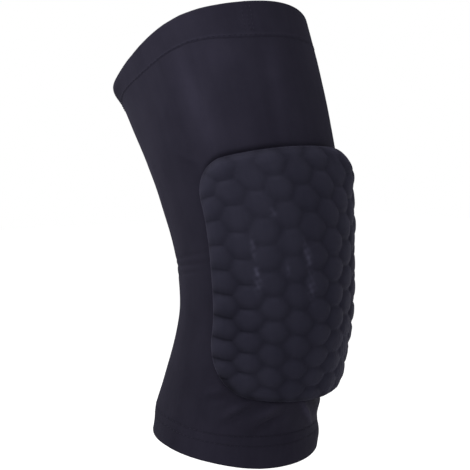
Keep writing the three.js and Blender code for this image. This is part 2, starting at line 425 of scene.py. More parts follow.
def seat_strength(station, angle):
    """Near 1 where the sleeve is drawn in most, along the pad's top and bottom, and 0 away from it."""
    across = angle * reach_at(station) + turned_by(station)
    outside = -inside_outline(across, station)
    at_ends = rise(station, 69, 76) + rise(station, -38, -50)
    above = between(SEAT_ABOVE, rise(across, -20, 10))
    below = between(SEAT_BELOW, rise(across, -40, 5))
    edge = np.exp(-((outside - 0.5) / SEAT_WIDTH) ** 2)
    return edge * np.where(station > 0, above, below) * between((SEAT_AT_SIDES, 1), at_ends)


def sleeve_relief(station, angle):
    """Folds, the channel round the pad, and a slow ripple that no cloth is without."""
    ripple = np.sin(station / 6.5 + 2.2 * np.sin(2 * angle)) * np.sin(5 * angle + station / 21)
    return fold_height(station, angle) - SEAT_DEPTH * seat_strength(station, angle) + RIPPLE * ripple


print("channel along the pad, up to", SEAT_DEPTH * max(SEAT_BELOW), "mm deep")

# %% [markdown]
# Above the pad two long soft streaks of painted sheen run down from the hem. Below it, painted
# highlights lie on the ridges of the folds, and painted shade in the hollows beside them. They
# could be painted on a picture, but rows like those of the folds are easier to move. They change
# only the tone: a negative gain is a painted shade. The same number holds painted shade in the
# channel along the pad.

# %% Streaks of painted light
STREAK_STATION, STREAK_ANGLE, STREAK_LEAN, STREAK_LENGTH, STREAK_WIDTH, STREAK_GAIN = range(6)
PAINTED_LIGHT_ROWS = np.array([
    # painted sheen that runs down from the hem above the pad
    (124, -62, -5, 26, 7, 0.45),
    (100, -58, -8, 22, 8, 0.25),
    (118, -9, 4, 30, 6, 0.35),
    (136, -42, 0, 10, 16, 0.25),
    # painted highlights on the ridges below the pad, and painted shade in the hollows beside them
    (-65, -43, 34, 9, 4, 0.3),
    (-66, -23, 34, 8, 5, 0.45),
    (-79, -18, 44, 8, 3.5, -0.2),
    (-72, 14, -42, 13, 2.6, 1.5),
    (-66, 22, -42, 8, 3.4, -0.8),
], float)


def painted_light_gain(station, angle):
    """How much painted light each spot of the sleeve gets: paler on a highlight, darker on a shade."""
    gain = np.zeros(np.shape(station))
    for row in PAINTED_LIGHT_ROWS:
        along = station - row[STREAK_STATION]
        around = (angle - np.radians(row[STREAK_ANGLE])) * reach_at(station)
        sideways = around - along * np.tan(np.radians(row[STREAK_LEAN]))
        shape = (along / row[STREAK_LENGTH]) ** 2 + (sideways / row[STREAK_WIDTH]) ** 2
        gain += row[STREAK_GAIN] * np.exp(-shape)
    return gain


PALE_SIDES = 0.16
PALE_LOW_FRONT = 0.1


def slow_tone(station, angle):
    """Sides and back are pale at the top and dark at the bottom. The front is paler below the pad."""
    sides = rise(np.degrees(np.abs(angle)), 60, 100)
    upwards = np.clip((station - 30) / 70, -1, 1)
    downwards = np.clip((-50 - station) / 30, 0, 1)
    return PALE_SIDES * sides * upwards + PALE_LOW_FRONT * (1 - sides) * downwards


def sleeve_openness(station, angle):
    """1 on plain cloth, less where shade is painted in the channel along the pad, and changed by the
    rows of painted light.
    """
    # seat_strength here is painted shade in the channel along the pad's edge
    return 1 + slow_tone(station, angle) + painted_light_gain(station, angle) - seat_strength(station, angle)


print(len(PAINTED_LIGHT_ROWS), "streaks")

# %% [markdown]
# ## The sleeve
# The sleeve is one layer of knit between the two hems. A Solidify modifier could give it its
# thickness, but then both faces would be equally fine. Here the outer face is cut finely enough for
# the folds, and the inner face more coarsely, because only the rims show the inside. Smooth shading
# would round off the cut ends, so each end gets one more ring of points close by, which holds the
# face flat right up to the edge.

# %% Sleeve
THIGH_EDGE = 167
CALF_EDGE = -110
THIGH_HEM_HEIGHT = 22
CALF_HEM_HEIGHT = 22
PIECE_GAP = 0.05
SLEEVE_WALL = 1.2
SIDES = 320
OUTER_RINGS = 190
INNER_RINGS = 60
HOLD = 0.04


def held_steps(first, last, count):
    """Even steps from first to last, with one more step close to each end."""
    hold = HOLD * np.sign(last - first)
    return np.concatenate([[first], np.linspace(first + hold, last - hold, count - 2), [last]])


def make_sleeve():
    low = CALF_EDGE + CALF_HEM_HEIGHT + PIECE_GAP
    high = THIGH_EDGE - THIGH_HEM_HEIGHT - PIECE_GAP
    outside = held_steps(low, high, OUTER_RINGS)
    inside = held_steps(high, low, INNER_RINGS)
    stations = np.concatenate([outside, inside])
    offs = np.concatenate([np.zeros(OUTER_RINGS), np.full(INNER_RINGS, -SLEEVE_WALL)])
    sleeve = wrap_round("sleeve_cloth", stations, offs, SIDES, sleeve_relief, sleeve_openness)
    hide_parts("sleeve")
    return sleeve


sleeve = make_sleeve()
print("sleeve:", len(sleeve.data.polygons), "faces")

# %% [markdown]
# ## The hems
# Each end of the sleeve is turned in and stitched, so it is two layers thick with a round rim. Its
# wall is drawn as a closed profile, because an even thickness from a modifier would leave the rim
# square. The stitching presses a shallow channel into the band and puckers it a little, which is
# what makes a sewn hem look sewn.

# %% Hem profile
HEM_WALL = 2.4
HEM_PROUD = 0.06
HEM_LIP = 1.5
FACE_STEPS = 60
LINING_STEPS = 10


def hem_profile(rim, seam):
    """Stations and heights once round a hem's wall, from the lip at its seam over the round rim."""
    inwards = np.sign(seam - rim)
    radius = HEM_WALL / 2
    middle = HEM_PROUD - radius
    lip = np.concatenate([[0, HOLD / HEM_LIP], np.linspace(0, 1, 9)[1:-1]])
    rim_turn = np.linspace(0, np.pi, 11)[1:-1]
    face = np.linspace(seam - inwards * HEM_LIP, rim + inwards * radius, FACE_STEPS)
    lining = held_steps(rim + inwards * radius, seam, LINING_STEPS)
    stations = [seam - inwards * HEM_LIP * lip, face,
                rim + inwards * radius * (1 - np.sin(rim_turn)), lining]
    offs = [HEM_PROUD * rise(lip, 0, 1), np.full(FACE_STEPS, HEM_PROUD),
            middle + radius * np.cos(rim_turn), np.full(LINING_STEPS, middle - radius)]
    order = -1 if inwards > 0 else 1
    return np.concatenate(stations)[::order], np.concatenate(offs)[::order]


print("hem wall:", HEM_WALL, "mm")

# %% Hems
CHANNEL_DEPTH = 0.08
CHANNEL_WIDTH = 0.5
CHANNEL_PAINTED_SHADE = 0.25
WELT_HEIGHT = 0.06
WELT_WIDTH = 1.0
WELT_PAINTED_HIGHLIGHT = 0.22
PUCKER = 0.06
PUCKER_LENGTH = 6.8
THIGH_CHANNELS = (145.4,)
THIGH_STITCH_LINES = (146.9,)
CALF_CHANNELS = (-88.9, -95.4)
CALF_STITCH_LINES = CALF_CHANNELS


def make_hem(name, node, rim, seam, channels, welts):
    """A turned hem. A channel is pressed in, and a welt is the ridge that a folded edge pushes up."""
    stations, offs = hem_profile(rim, seam)

    def near(lines, station, width):
        """1 on any of the lines, fading to 0 beside them."""
        return sum(np.exp(-((station - line) / width) ** 2) for line in lines)

    def stitched(station, angle):
        """Channels and welts, puckers beside them, and the folds that reach the hem."""
        wave = np.sin(angle * CLOTH_RADIUS * 2 * np.pi / PUCKER_LENGTH + 2 * np.sin(7 * angle))
        raised = WELT_HEIGHT * near(welts, station, WELT_WIDTH)
        pressed = CHANNEL_DEPTH * near(channels, station, CHANNEL_WIDTH)
        pucker = PUCKER * near(channels, station, 3 * CHANNEL_WIDTH) * wave
        return raised - pressed + pucker + fold_height(station, angle)

    # painted shade in the stitched channels and a painted highlight on the welt, over the sleeve's slow
    # tone
    def hem_openness(station, angle):
        shade = CHANNEL_PAINTED_SHADE * near(channels, station, CHANNEL_WIDTH)
        return 1 + slow_tone(station, angle) - shade + WELT_PAINTED_HIGHLIGHT * near(welts, station, WELT_WIDTH)

    hem = wrap_round(name, stations, offs, SIDES, stitched, hem_openness)
    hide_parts(node)
    return hem


thigh_seam = THIGH_EDGE - THIGH_HEM_HEIGHT
calf_seam = CALF_EDGE + CALF_HEM_HEIGHT
thigh_hem = make_hem("thigh_hem_band", "thigh_hem", THIGH_EDGE, thigh_seam,
                     channels=THIGH_CHANNELS, welts=THIGH_STITCH_LINES)
calf_hem = make_hem("calf_hem_band", "calf_hem", CALF_EDGE, calf_seam,
                    channels=CALF_CHANNELS, welts=())
print("hems:", len(thigh_hem.data.polygons), "and", len(calf_hem.data.polygons), "faces")

# %% [markdown]
# ## The honeycomb pad
# The pad is foam, pressed in a mould into six-sided cells with knit bonded over them, so the cloth
# dips into a groove between every two cells. Inflating it with a cloth simulation would lose the
# moulded flat tops, so it is shaped directly. The grooves are drawn flat first, as short lines. The
# height at any spot is then the pad's rounded edge, less a dip that depends on how near the spot
# is to a groove line. Last, the flat pad is wrapped on the tube.

# %% Groove lines
COLUMNS = 9
COLUMN_SPACING = 14.2
ROW_PITCH = 12.8
ROW_GROWTH = 0.1
MIDDLE_CELL = 9.1
TOP_ROW = 4
BOTTOM_ROW = -5
OUTERMOST = (COLUMNS - 1) // 2


def row_station(row):
    """Where a row lies along the tube. The rows are a little taller towards the top."""
    return MIDDLE_CELL + row * ROW_PITCH + ROW_GROWTH * row * row


def cell_middles():
    """Each cell's column and row. Odd columns stand half a row higher."""
    rows = range(BOTTOM_ROW, TOP_ROW + 1)
    columns = range(-OUTERMOST, OUTERMOST + 1)
    return [(column, row, row + (0.5 if column % 2 else 0)) for column in columns for row in rows]


def groove_lines():
    """The honeycomb as short lines: (x0, y0, x1, y1), each once."""
    lines = set()
    for column, row, middle in cell_middles():
        halves = range(-3 if row == BOTTOM_ROW else -1, 4 if row == TOP_ROW else 2)
        foot = row_station(middle - 0.5)
        for side in (-1, 1):
            if column * side == OUTERMOST:
                lines.add((column, foot, column + 2 * side, foot))
                continue
            spots = [(column + side * (1 if h % 2 else 2) / 3, row_station(middle + h / 2))
                     for h in halves]
            for a, b in zip(spots, spots[1:]):
                lines.add((*a, *b) if a < b else (*b, *a))
        if row > BOTTOM_ROW:
            lines.add((column - 1 / 3, foot, column + 1 / 3, foot))
    unique = {tuple(np.round(line, 4)) for line in lines}
    return np.array(sorted(unique)) * np.array([COLUMN_SPACING, 1, COLUMN_SPACING, 1])


GROOVES = groove_lines()
print(len(GROOVES), "groove lines")

# %% Distance to the grooves
LEVEL = np.abs(GROOVES[:, 3] - GROOVES[:, 1]) < 0.01
CORNER_ROUND = 2.3
NEAREST = 0.01


def groove_distance(lines, across, along):
    """Distance from spots to groove lines, blended so that the cells' corners come out round."""
    total = np.zeros(across.shape)
    for x0, y0, x1, y1 in lines:
        dx, dy = x1 - x0, y1 - y0
        t = np.clip(((across - x0) * dx + (along - y0) * dy) / (dx * dx + dy * dy), 0, 1)
        distance = np.hypot(across - x0 - t * dx, along - y0 - t * dy)
        total += np.maximum(distance, NEAREST) ** -CORNER_ROUND
    return total ** (-1 / CORNER_ROUND)


print(int(LEVEL.sum()), "of the lines are level")

# %% Depth and painted shade of the grooves
GROOVE_DEPTH = 1.9
LEVEL_REACH, LEVEL_PAINTED_SHADE = 3.4, 0.85
SLANTED_REACH, SLANTED_PAINTED_SHADE = 4.2, 1.1
CREASE_REACH, CREASE_PAINTED_SHADE = 0.9, 0.9
# share of the painted crease line that is left away from the pad's left edge
CREASE_AWAY = 0.2
# how far the lines stray from a perfect honeycomb
WOBBLE = 0.7


def groove_relief(across, along):
    """Depth of the grooves, and the painted shade in them. Level ones hold a thin painted crease line,
    mostly at the left.
    """
    wobbly_across = across + WOBBLE * np.sin(along / 7.3 + across / 19)
    wobbly_along = along + WOBBLE * np.sin(across / 8.1 - along / 17 + 1)
    to_level = groove_distance(GROOVES[LEVEL], wobbly_across, wobbly_along)
    to_slanted = groove_distance(GROOVES[~LEVEL], wobbly_across, wobbly_along)
    level = rise(to_level, LEVEL_REACH, 0)
    slanted = rise(to_slanted, SLANTED_REACH, 0)
    crease = rise(to_level, CREASE_REACH, 0) * between((1, CREASE_AWAY), rise(across, -48, -34))
    dark = np.maximum(LEVEL_PAINTED_SHADE * level + CREASE_PAINTED_SHADE * crease, SLANTED_PAINTED_SHADE * slanted)
    return GROOVE_DEPTH * np.hypot(level, slanted), dark


print("grooves", GROOVE_DEPTH, "mm deep")

# %% Small differences between cells
CELL_VARIES = 0.25


def cell_lift(across, along):
    """No two cells are pressed quite alike: a small lift for each, the same on every run."""
    nearest = np.full(across.shape, np.inf)
    lift = np.zeros(across.shape)
    for column, row, middle in cell_middles():
        away = (across - column * COLUMN_SPACING) ** 2 + (along - row_station(middle)) ** 2
        closer = away < nearest
        nearest = np.where(closer, away, nearest)
        lift = np.where(closer, np.sin(12.9 * column + 78.2 * row), lift)
    return CELL_VARIES * lift


print(len(cell_middles()), "cells, each up to", CELL_VARIES, "mm higher or lower")

# %% [markdown]
# Worn on a bend, the cover isn't equally tight all over. It is drawn round the lower right flank,
# which flattens the cells and wrinkles them finely, and the cells are calmer towards the top and
# the upper left. Such zones could be painted as vertex weights. As formulas they need no brush: each
# is 1 at its heart and fades out smoothly.

# %% Where the cells are calmer
# share of the cells' relief, or of the grooves' shade, that a zone takes away
FLANK_SMOOTH = 0.4
TOP_SMOOTH = 0.3
LEFT_SMOOTH = 0.4
LEFT_FADED = 0.3
FLANK_WRINKLE = 0.14


def flank_zone(across, along):
    """1 on the lower right flank of the flat pad."""
    return rise(across, 4, 26) * rise(along, -6, -26)


def upper_left_zone(across, along):
    """1 on the upper left quarter of the flat pad."""
    return rise(along, -8, 22) * rise(across, 8, -22)


def cell_strength(across, along):
    """Share of the cells' relief, and share of the grooves' shade, that is left in each place."""
    flank = 1 - FLANK_SMOOTH * flank_zone(across, along)
    left = upper_left_zone(across, along)
    relief = flank * (1 - TOP_SMOOTH * rise(along, 10, 55)) * (1 - LEFT_SMOOTH * left)
    return relief, flank * (1 - LEFT_FADED * left)


def flank_wrinkle(across, along):
    """Fine wrinkles with no plain direction, from two waves that cross."""
    bent = 1.5 * np.sin(along / 5)
    waves = np.sin(1.4 * across + 0.6 * along + bent) * np.sin(0.7 * across - 0.4 * along)
    return FLANK_WRINKLE * flank_zone(across, along) * waves


print("wrinkles up to", FLANK_WRINKLE, "mm high")

# %% The pad's rounded edge
PAD_THICKNESS = 9.0
PAD_EDGE_HEIGHT = 2.6
PAD_EDGE_ROUND = 9
LOW_FILL = 1.5
TOP_FILL = 3.0
RIM_SHADE = 1.28
LOW_RIM_SHADE = 1.6
LOW_RIM_LINE = 0.8
LEFT_SHADE = 0.35
UPPER_LEFT_SHADE = 0.1


def edge_height(across, along, depth):
    """The pad without its cells: round along its edge, and fuller in places at its right."""
    inward = np.clip(depth / PAD_EDGE_ROUND, 0, 1)
    edge = PAD_EDGE_HEIGHT + (PAD_THICKNESS - PAD_EDGE_HEIGHT) * np.sqrt(1 - (1 - inward) ** 2)
    low = LOW_FILL * rise(along, 20, 0) * rise(along, -38, -18)
    return edge + inward * rise(across, 25, 50) * (low + TOP_FILL * rise(along, 50, 65))


def edge_shade(across, along, depth):
    """Painted shade along the edge, most of all below, on the parts that are turned to the left, and a
    little over the upper left.
    """
    below = LOW_RIM_SHADE * rise(depth, 6, 0) + LOW_RIM_LINE * rise(depth, 2, 0)
    rim = np.maximum(below * rise(along, -36, -48), RIM_SHADE * rise(depth, 4.5, 0))
    left = LEFT_SHADE * rise(across, -40, -60) * rise(along, 45, 5)
    return rim + left + UPPER_LEFT_SHADE * upper_left_zone(across, along)


print("pad:", PAD_THICKNESS, "mm thick,", PAD_EDGE_HEIGHT, "mm at its edge")

# %% Height and tone of the pad's face
GROOVE_FADE = 6


def pad_face(across, along):
    """Height above the pad's back, and the tone of each spot: 1 on a cell, less where shade is painted
    in a groove and along the edge.
    """
    depth = np.maximum(inside_outline(across, along), 0)
    sink, dark = groove_relief(across, along)
    relief, shade = cell_strength(across, along)
    cell = (1 - np.clip(sink / GROOVE_DEPTH, 0, 1)) * cell_lift(across, along) - sink
    height = edge_height(across, along, depth) + flank_wrinkle(across, along)
    height = height + np.clip(depth / GROOVE_FADE, 0, 1) * relief * cell
    return height, 1 - dark * shade - edge_shade(across, along, depth)


middle_height = pad_face(np.zeros(1), np.full(1, MIDDLE_CELL))[0]
print("the middle cell stands", round(float(middle_height[0]), 1), "mm above the pad's back")

# %% [markdown]
# In a few grooves at the middle of the pad there are small pale flecks. They are too few and too
# uneven for a texture, so each such fleck is a row: its place on the flat pad, its width and length,
# and how pale it is.

# %% Flecks
FLECK_ACROSS, FLECK_ALONG, FLECK_WIDTH, FLECK_LENGTH, FLECK_GAIN = range(5)
FLECK_ROWS = np.array([
    (-36.4, 27, 1.3, 5.0, 2.6),
    (-35.9, 15, 1.4, 2.6, 4.8),
    (-36.4, 9, 2.2, 4.0, 2.6),
    (-7.2, 26, 1.4, 3.0, 2.2),
    (-5.8, 20, 1.6, 4.5, 3.2),
    (-5.6, 6, 2.2, 5.5, 2.8),
    (-22.4, 43, 1.8, 2.2, 2.4),
    (-19.0, 16, 1.2, 3.5, 1.6),
    (8.6, -39, 1.2, 3.0, 0.9),
    (18.7, -43.5, 1.4, 2.5, 1.0),
    (16.2, -49, 1.6, 1.8, 1.2),
], float)


def fleck_gain(across, along):
    """How much paler each spot is. Two waves that cross break a fleck into dots, like threads."""
    gain = np.zeros(across.shape)
    for row in FLECK_ROWS:
        shape = ((across - row[FLECK_ACROSS]) / row[FLECK_WIDTH]) ** 2
        shape = shape + ((along - row[FLECK_ALONG]) / row[FLECK_LENGTH]) ** 2
        gain += row[FLECK_GAIN] * np.exp(-shape)
    dots = np.sin(1.4 * along + 0.5 * across) * np.sin(1.2 * across - 0.5 * along + 1)
    return gain * (0.7 + 0.45 * dots)


print(len(FLECK_ROWS), "flecks")

# %% [markdown]
# The face is a grid of points that follows the outline, so its border is the pad's own edge. A
# remesh could do without the grid, but it would round off the thin creases. The side wall goes down
# from the border and tucks in under it. The back is a grid half as fine, and a strip of triangles
# joins the two, so that the pad is closed.

# %% Pad grids
PAD_CELLS_ACROSS = 250
PAD_CELLS_ALONG = 260


def pad_grid(columns, rows, inset):
    """Spots of a grid that fills the outline, drawn in from the edge by inset."""
    t = np.linspace(-1, 1, columns + 1)
    along = np.linspace(PAD_BOTTOM, PAD_TOP, rows + 1)
    along, t = np.meshgrid(along, t, indexing="ij")
    across = t * half_width_at(along)
    centre = (PAD_TOP + PAD_BOTTOM) / 2
    shrink_x = 1 - inset / PAD_HALF_WIDTH
    shrink_y = 1 - 2 * inset / (PAD_TOP - PAD_BOTTOM)
    return across * shrink_x, centre + (along - centre) * shrink_y


def border(columns, rows):
    """Indices of a grid's border, once round, counter-clockwise from its first corner."""
    index = np.arange((rows + 1) * (columns + 1)).reshape(rows + 1, columns + 1)
    return np.concatenate([index[0, :-1], index[:-1, -1], index[-1, :0:-1], index[:0:-1, 0]])


def grid_faces(columns, rows, start, flip=False):
    """Four-sided faces of a grid whose first point has the index start."""
    index = start + np.arange((rows + 1) * (columns + 1)).reshape(rows + 1, columns + 1)
    quads = [index[:-1, :-1], index[:-1, 1:], index[1:, 1:], index[1:, :-1]]
    quads = np.stack(quads, axis=-1).reshape(-1, 4)
    return quads[:, ::-1] if flip else quads


print("pad face:", PAD_CELLS_ACROSS, "by", PAD_CELLS_ALONG, "faces")


# %% Faces that close the pad
def ring_faces(upper, lower):
    """Four-sided faces between two rings of points."""
    return np.stack([upper, lower, np.roll(lower, -1), np.roll(upper, -1)], axis=1).tolist()


def closing_faces(ring, inner):
    """Triangles between a ring and one inside it that has half as many points."""
    after = np.roll(inner, -1)
    a, b, c = ring[0::2], ring[1::2], np.roll(ring, -1)[1::2]
    strips = ((inner, b, a), (inner, after, b), (after, c, b))
    return np.concatenate([np.stack(strip, axis=1) for strip in strips]).tolist()


print("points round the pad's edge:", len(border(PAD_CELLS_ACROSS, PAD_CELLS_ALONG)))

# %% Pad mesh
FACE_GRID = (PAD_CELLS_ACROSS, PAD_CELLS_ALONG)
BACK_GRID = (PAD_CELLS_ACROSS // 2, PAD_CELLS_ALONG // 2)
TUCK = 2.2
BACK_INSET = 0.6
# tones of painted shade on the pad's side wall, and on its back where it lies against the sleeve
WALL_PAINTED_SHADE = -1.2
BACK_PAINTED_SHADE = 0.5
# rings down the side wall: share of the edge's height, and share of the tuck
WALL_RINGS = ((0.75, 0.1), (0.45, 0.45), (0.15, 1.0), (0.0, 1.25))


def make_pad():
    across, along = pad_grid(*FACE_GRID, 0)
    height, tone = pad_face(across, along)
    flat = [np.stack([across, along, height], axis=-1).reshape(-1, 3)]
    tones = [(tone + fleck_gain(across, along)).ravel()]
    faces = grid_faces(*FACE_GRID, 0).tolist()
    edge = border(*FACE_GRID)
    ring = edge
    start = across.size
    for level, tuck in WALL_RINGS:
        x, y = pad_grid(*FACE_GRID, tuck * TUCK)
        wall = np.stack([x, y, height * level], axis=-1).reshape(-1, 3)
        flat.append(wall[edge])
        tones.append(np.full(len(edge), WALL_PAINTED_SHADE))
        below = start + np.arange(len(edge))
        faces += ring_faces(ring, below)
        ring = below
        start += len(edge)
    x, y = pad_grid(*BACK_GRID, TUCK * WALL_RINGS[-1][1] + BACK_INSET)
    flat.append(np.stack([x, y, np.zeros(x.shape)], axis=-1).reshape(-1, 3))
    tones.append(np.full(x.size, BACK_PAINTED_SHADE))
    faces += grid_faces(*BACK_GRID, start, flip=True).tolist()
    faces += closing_faces(ring, start + border(*BACK_GRID))
    flat = np.concatenate(flat)
    corner_spots = np.concatenate(faces).astype(int)
    points = on_sleeve(flat[:, 0], flat[:, 1], flat[:, 2])
    marks = {"crown": np.concatenate(tones)}
    pad = make_piece("honeycomb_pad_cloth", points, faces, flat[corner_spots, :2], marks)
    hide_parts("honeycomb_pad")
    return pad


pad = make_pad()
print("pad:", len(pad.data.polygons), "faces")

# %% [markdown]
# ## Stitches
# A stitch is a short length of thread that goes in at one end and out at the other, so each one is
# a small rounded bar, a little sunk in the cloth. Geometry Nodes could set copies along a curve, but
# each bar has to lie on the cloth just where it is, so the bars are worked out from the cloth's own
# formula, and all the bars of one seam are joined in one mesh. The upper hem has a short join of its
# own near the front, with three rows of stitches up it.

# %% Rounded bars
THREAD_RADIUS = 0.25
BAR_RING = 6
# rings along a bar: share of its length, and share of the thread's radius
BAR_STEPS = ((0.0, 0.25), (0.08, 0.75), (0.3, 1.0), (0.7, 1.0), (0.92, 0.75), (1.0, 0.25))
BAR_SINK = 1.1
THREAD_LIFT = 0.4


def stitch_bars(name, starts, ends, outs):
    """One mesh of rounded bars, each from a start to an end, sunk towards the cloth at its ends."""
    run = ends - starts
    run_unit = run / np.linalg.norm(run, axis=1, keepdims=True)
    beside = np.cross(run_unit, outs)
    points = []
    for share, girth in BAR_STEPS:
        sink = THREAD_RADIUS * BAR_SINK * (1 - np.sin(np.pi * share))
        centre = starts + run * share - outs * sink
        for turn in np.linspace(0, 2 * np.pi, BAR_RING, endpoint=False):
            spoke = beside * np.cos(turn) + outs * np.sin(turn)
            points.append(centre + THREAD_RADIUS * girth * spoke)
    points = np.stack(points, axis=1)
    bar_points = len(BAR_STEPS) * BAR_RING
    faces = [tuple(range(BAR_RING)), tuple(range(bar_points - BAR_RING, bar_points))[::-1]]
    for ring in range(len(BAR_STEPS) - 1):
        for k in range(BAR_RING):
            a, b = ring * BAR_RING + k, ring * BAR_RING + (k + 1) % BAR_RING
            faces.append((a, a + BAR_RING, b + BAR_RING, b))
    firsts = range(0, len(starts) * bar_points, bar_points)
    all_faces = [tuple(first + v for v in face) for first in firsts for face in faces]
    stitches = make_piece(name, points.reshape(-1, 3), all_faces)
    return stitches


def place_on_hem(station, angle, height):
    """A point so high above a hem's face, and the direction out of the cloth there."""
    lift = HEM_PROUD + fold_height(station, angle)
    base = skin(worn(station, angle), angle, lift + height)
    out = skin(worn(station, angle), angle, lift + height + 1.0) - base
    return base, out / np.linalg.norm(out, axis=-1, keepdims=True)


print("thread", 2 * THREAD_RADIUS, "mm thick")

# %% Stitch lines round the hems
STITCH_PITCH = 3.4
STITCH_LENGTH = 2.5
STITCH_DRIFT = 0.12


def make_stitch_line(name, lines, base):
    """Stitches along lines round a hem, on cloth that lies base higher than the hem's face."""
    parts = []
    for station in lines:
        count = int(2 * np.pi * reach_at(station) / STITCH_PITCH)
        angles = np.arange(count) * 2 * np.pi / count - np.pi
        half = STITCH_LENGTH / STITCH_PITCH * np.pi / count
        drift = STITCH_DRIFT * np.sin(angles * 23)
        height = base + THREAD_RADIUS * THREAD_LIFT
        start, out = place_on_hem(station + drift, angles - half, height)
        end, _ = place_on_hem(station - drift, angles + half, height)
        parts.append((start, end, out))
    return stitch_bars(name, *(np.concatenate(p) for p in zip(*parts)))


thigh_stitches = make_stitch_line("thigh_hem_stitches", THIGH_STITCH_LINES, WELT_HEIGHT)
calf_stitches = make_stitch_line("calf_hem_stitches", CALF_STITCH_LINES, -CHANNEL_DEPTH)
print("stitch faces:", len(thigh_stitches.data.polygons), "and", len(calf_stitches.data.polygons))

# %% The join in the upper hem
JOIN_ANGLES = (-20.6, -17.8, -15.6)
JOIN_LEAN = 0.09
JOIN_FROM, JOIN_TO = 149.0, 165.0
JOIN_PITCH = 2.6
JOIN_STITCH = 0.8
JOIN_SPLAY = 0.3
JOIN_DRIFT = 0.004


def make_hem_join():
    stations = np.arange(JOIN_FROM, JOIN_TO, JOIN_PITCH)
    height = THREAD_RADIUS * THREAD_LIFT
    parts = []
    for row, degrees in enumerate(JOIN_ANGLES):
        drift = JOIN_DRIFT * np.sin(stations * 3 + row)
        angle = np.radians(degrees + JOIN_LEAN * (stations - JOIN_FROM)) + drift
        splay = np.radians(JOIN_SPLAY * (row - 1))
        start, out = place_on_hem(stations, angle, height)
        end, _ = place_on_hem(stations + JOIN_PITCH * JOIN_STITCH, angle + splay, height)
        parts.append((start, end, out))
    return stitch_bars("thigh_hem_join", *(np.concatenate(p) for p in zip(*parts)))


hem_join = make_hem_join()
print("join:", len(JOIN_ANGLES), "rows of stitches")

# %% [markdown]
# ## How far the sleeve is stretched
# The sleeve was a flat panel of knit before it was sewn into a tube. Worn, it is stretched by about
# a fifth round its girth, so the panel is narrower than the tube that it makes.

# %% [markdown]
# ## The knit
# Up close the cloth is stockinette: upright columns of small V-shaped loops. Loops of real thread
# would take millions of faces, so the knit is a bump. It reads the cloth's own measure, so it bends
# with the tube. A wave across gives the columns, and a wave along that is bent into a V gives the
# loops. The navy black varies a little from place to place, in long streaks where the knit is
# pulled. Nylon dyed so dark throws back light of its own blue, so the gloss is tinted and weak, and
# a thin sheen lifts the edges.


# %% Words for node trees
class Nodes:
    """Short words for building a material's nodes."""

    def __init__(self, name):
        self.material = bpy.data.materials.new(name)
        self.material.use_nodes = True
        self.tree = self.material.node_tree
        self.tree.nodes.clear()
        self.output = self.add("ShaderNodeOutputMaterial")
        self.shader = self.add("ShaderNodeBsdfPrincipled")
        self.link(self.shader.outputs[0], self.output.inputs["Surface"])

    def add(self, kind, **settings):
        node = self.tree.nodes.new(kind)
        for key, value in settings.items():
            setattr(node, key, value)
        return node

    def link(self, source, target):
        self.tree.links.new(source, target)

    def math(self, operation, *values):
        """One sum. A value is a number or another node's output."""
        node = self.add("ShaderNodeMath", operation=operation)
        for socket, value in zip(node.inputs, values):
            if isinstance(value, (int, float)):
                socket.default_value = value
            else:
                self.link(value, socket)
        return node.outputs[0]

    def span(self, value, low, high):
        """Maps 0 to low and 1 to high, and goes on beyond them."""
        node = self.add("ShaderNodeMapRange", clamp=False)
        self.link(value, node.inputs["Value"])
        node.inputs["To Min"].default_value = low
        node.inputs["To Max"].default_value = high
        return node.outputs["Result"]

    def noise(self, place, scale, detail):
        node = self.add("ShaderNodeTexNoise")
        node.inputs["Scale"].default_value = scale
        node.inputs["Detail"].default_value = detail
        node.inputs["Roughness"].default_value = 0.6
        self.link(place, node.inputs["Vector"])
        return node.outputs["Fac"]

    def ramp(self, value, *stops):
        """Colours by a value: stops are (position, colour)."""
        node = self.add("ShaderNodeValToRGB")
        for element, (position, colour) in zip(node.color_ramp.elements, stops):
            element.position = position
            element.color = (*colour, 1)
        self.link(value, node.inputs["Fac"])
        return node.outputs["Color"]

    def darken(self, colour, factor):
        """A colour times a factor."""
        node = self.add("ShaderNodeVectorMath", operation="SCALE")
        self.link(colour, node.inputs[0])
        self.link(factor, node.inputs["Scale"])
        return node.outputs["Vector"]


print("words for nodes:", [word for word in vars(Nodes) if not word.startswith("_")])

# %% Knit pattern
LOOP_BEND = 1.1
LOOP_SHARE = 0.35


def knit_height(nodes, wale_mm, course_mm):
    """Bump height of stockinette, from the cloth's own measure."""
    place = nodes.add("ShaderNodeUVMap", uv_map=CLOTH_LAYER)
    split = nodes.add("ShaderNodeSeparateXYZ")
    nodes.link(place.outputs["UV"], split.inputs[0])
    wale = nodes.math("DIVIDE", split.outputs[0], wale_mm * MM)
    course = nodes.math("DIVIDE", split.outputs[1], course_mm * MM)
    beside = nodes.math("PINGPONG", wale, 0.5)
    column = nodes.math("SINE", nodes.math("MULTIPLY", beside, 2 * np.pi))
    bent = nodes.math("ADD", course, nodes.math("MULTIPLY", beside, LOOP_BEND))
    loop = nodes.math("SINE", nodes.math("MULTIPLY", bent, 2 * np.pi))
    columns = nodes.math("MULTIPLY", column, 1 - LOOP_SHARE)
    return nodes.math("MULTIPLY_ADD", loop, LOOP_SHARE, columns)


print("loops make", LOOP_SHARE, "of the knit's relief, columns the rest")

# %% Dyed knit
STREAK_SCALE = (70, 9, 1)
BLOTCH_SCALE = 38
GLOSS_TINT = (0.66, 0.62, 1.0, 1)
GLOSS_VARIES = 0.08
KNIT_RELIEF = 0.1


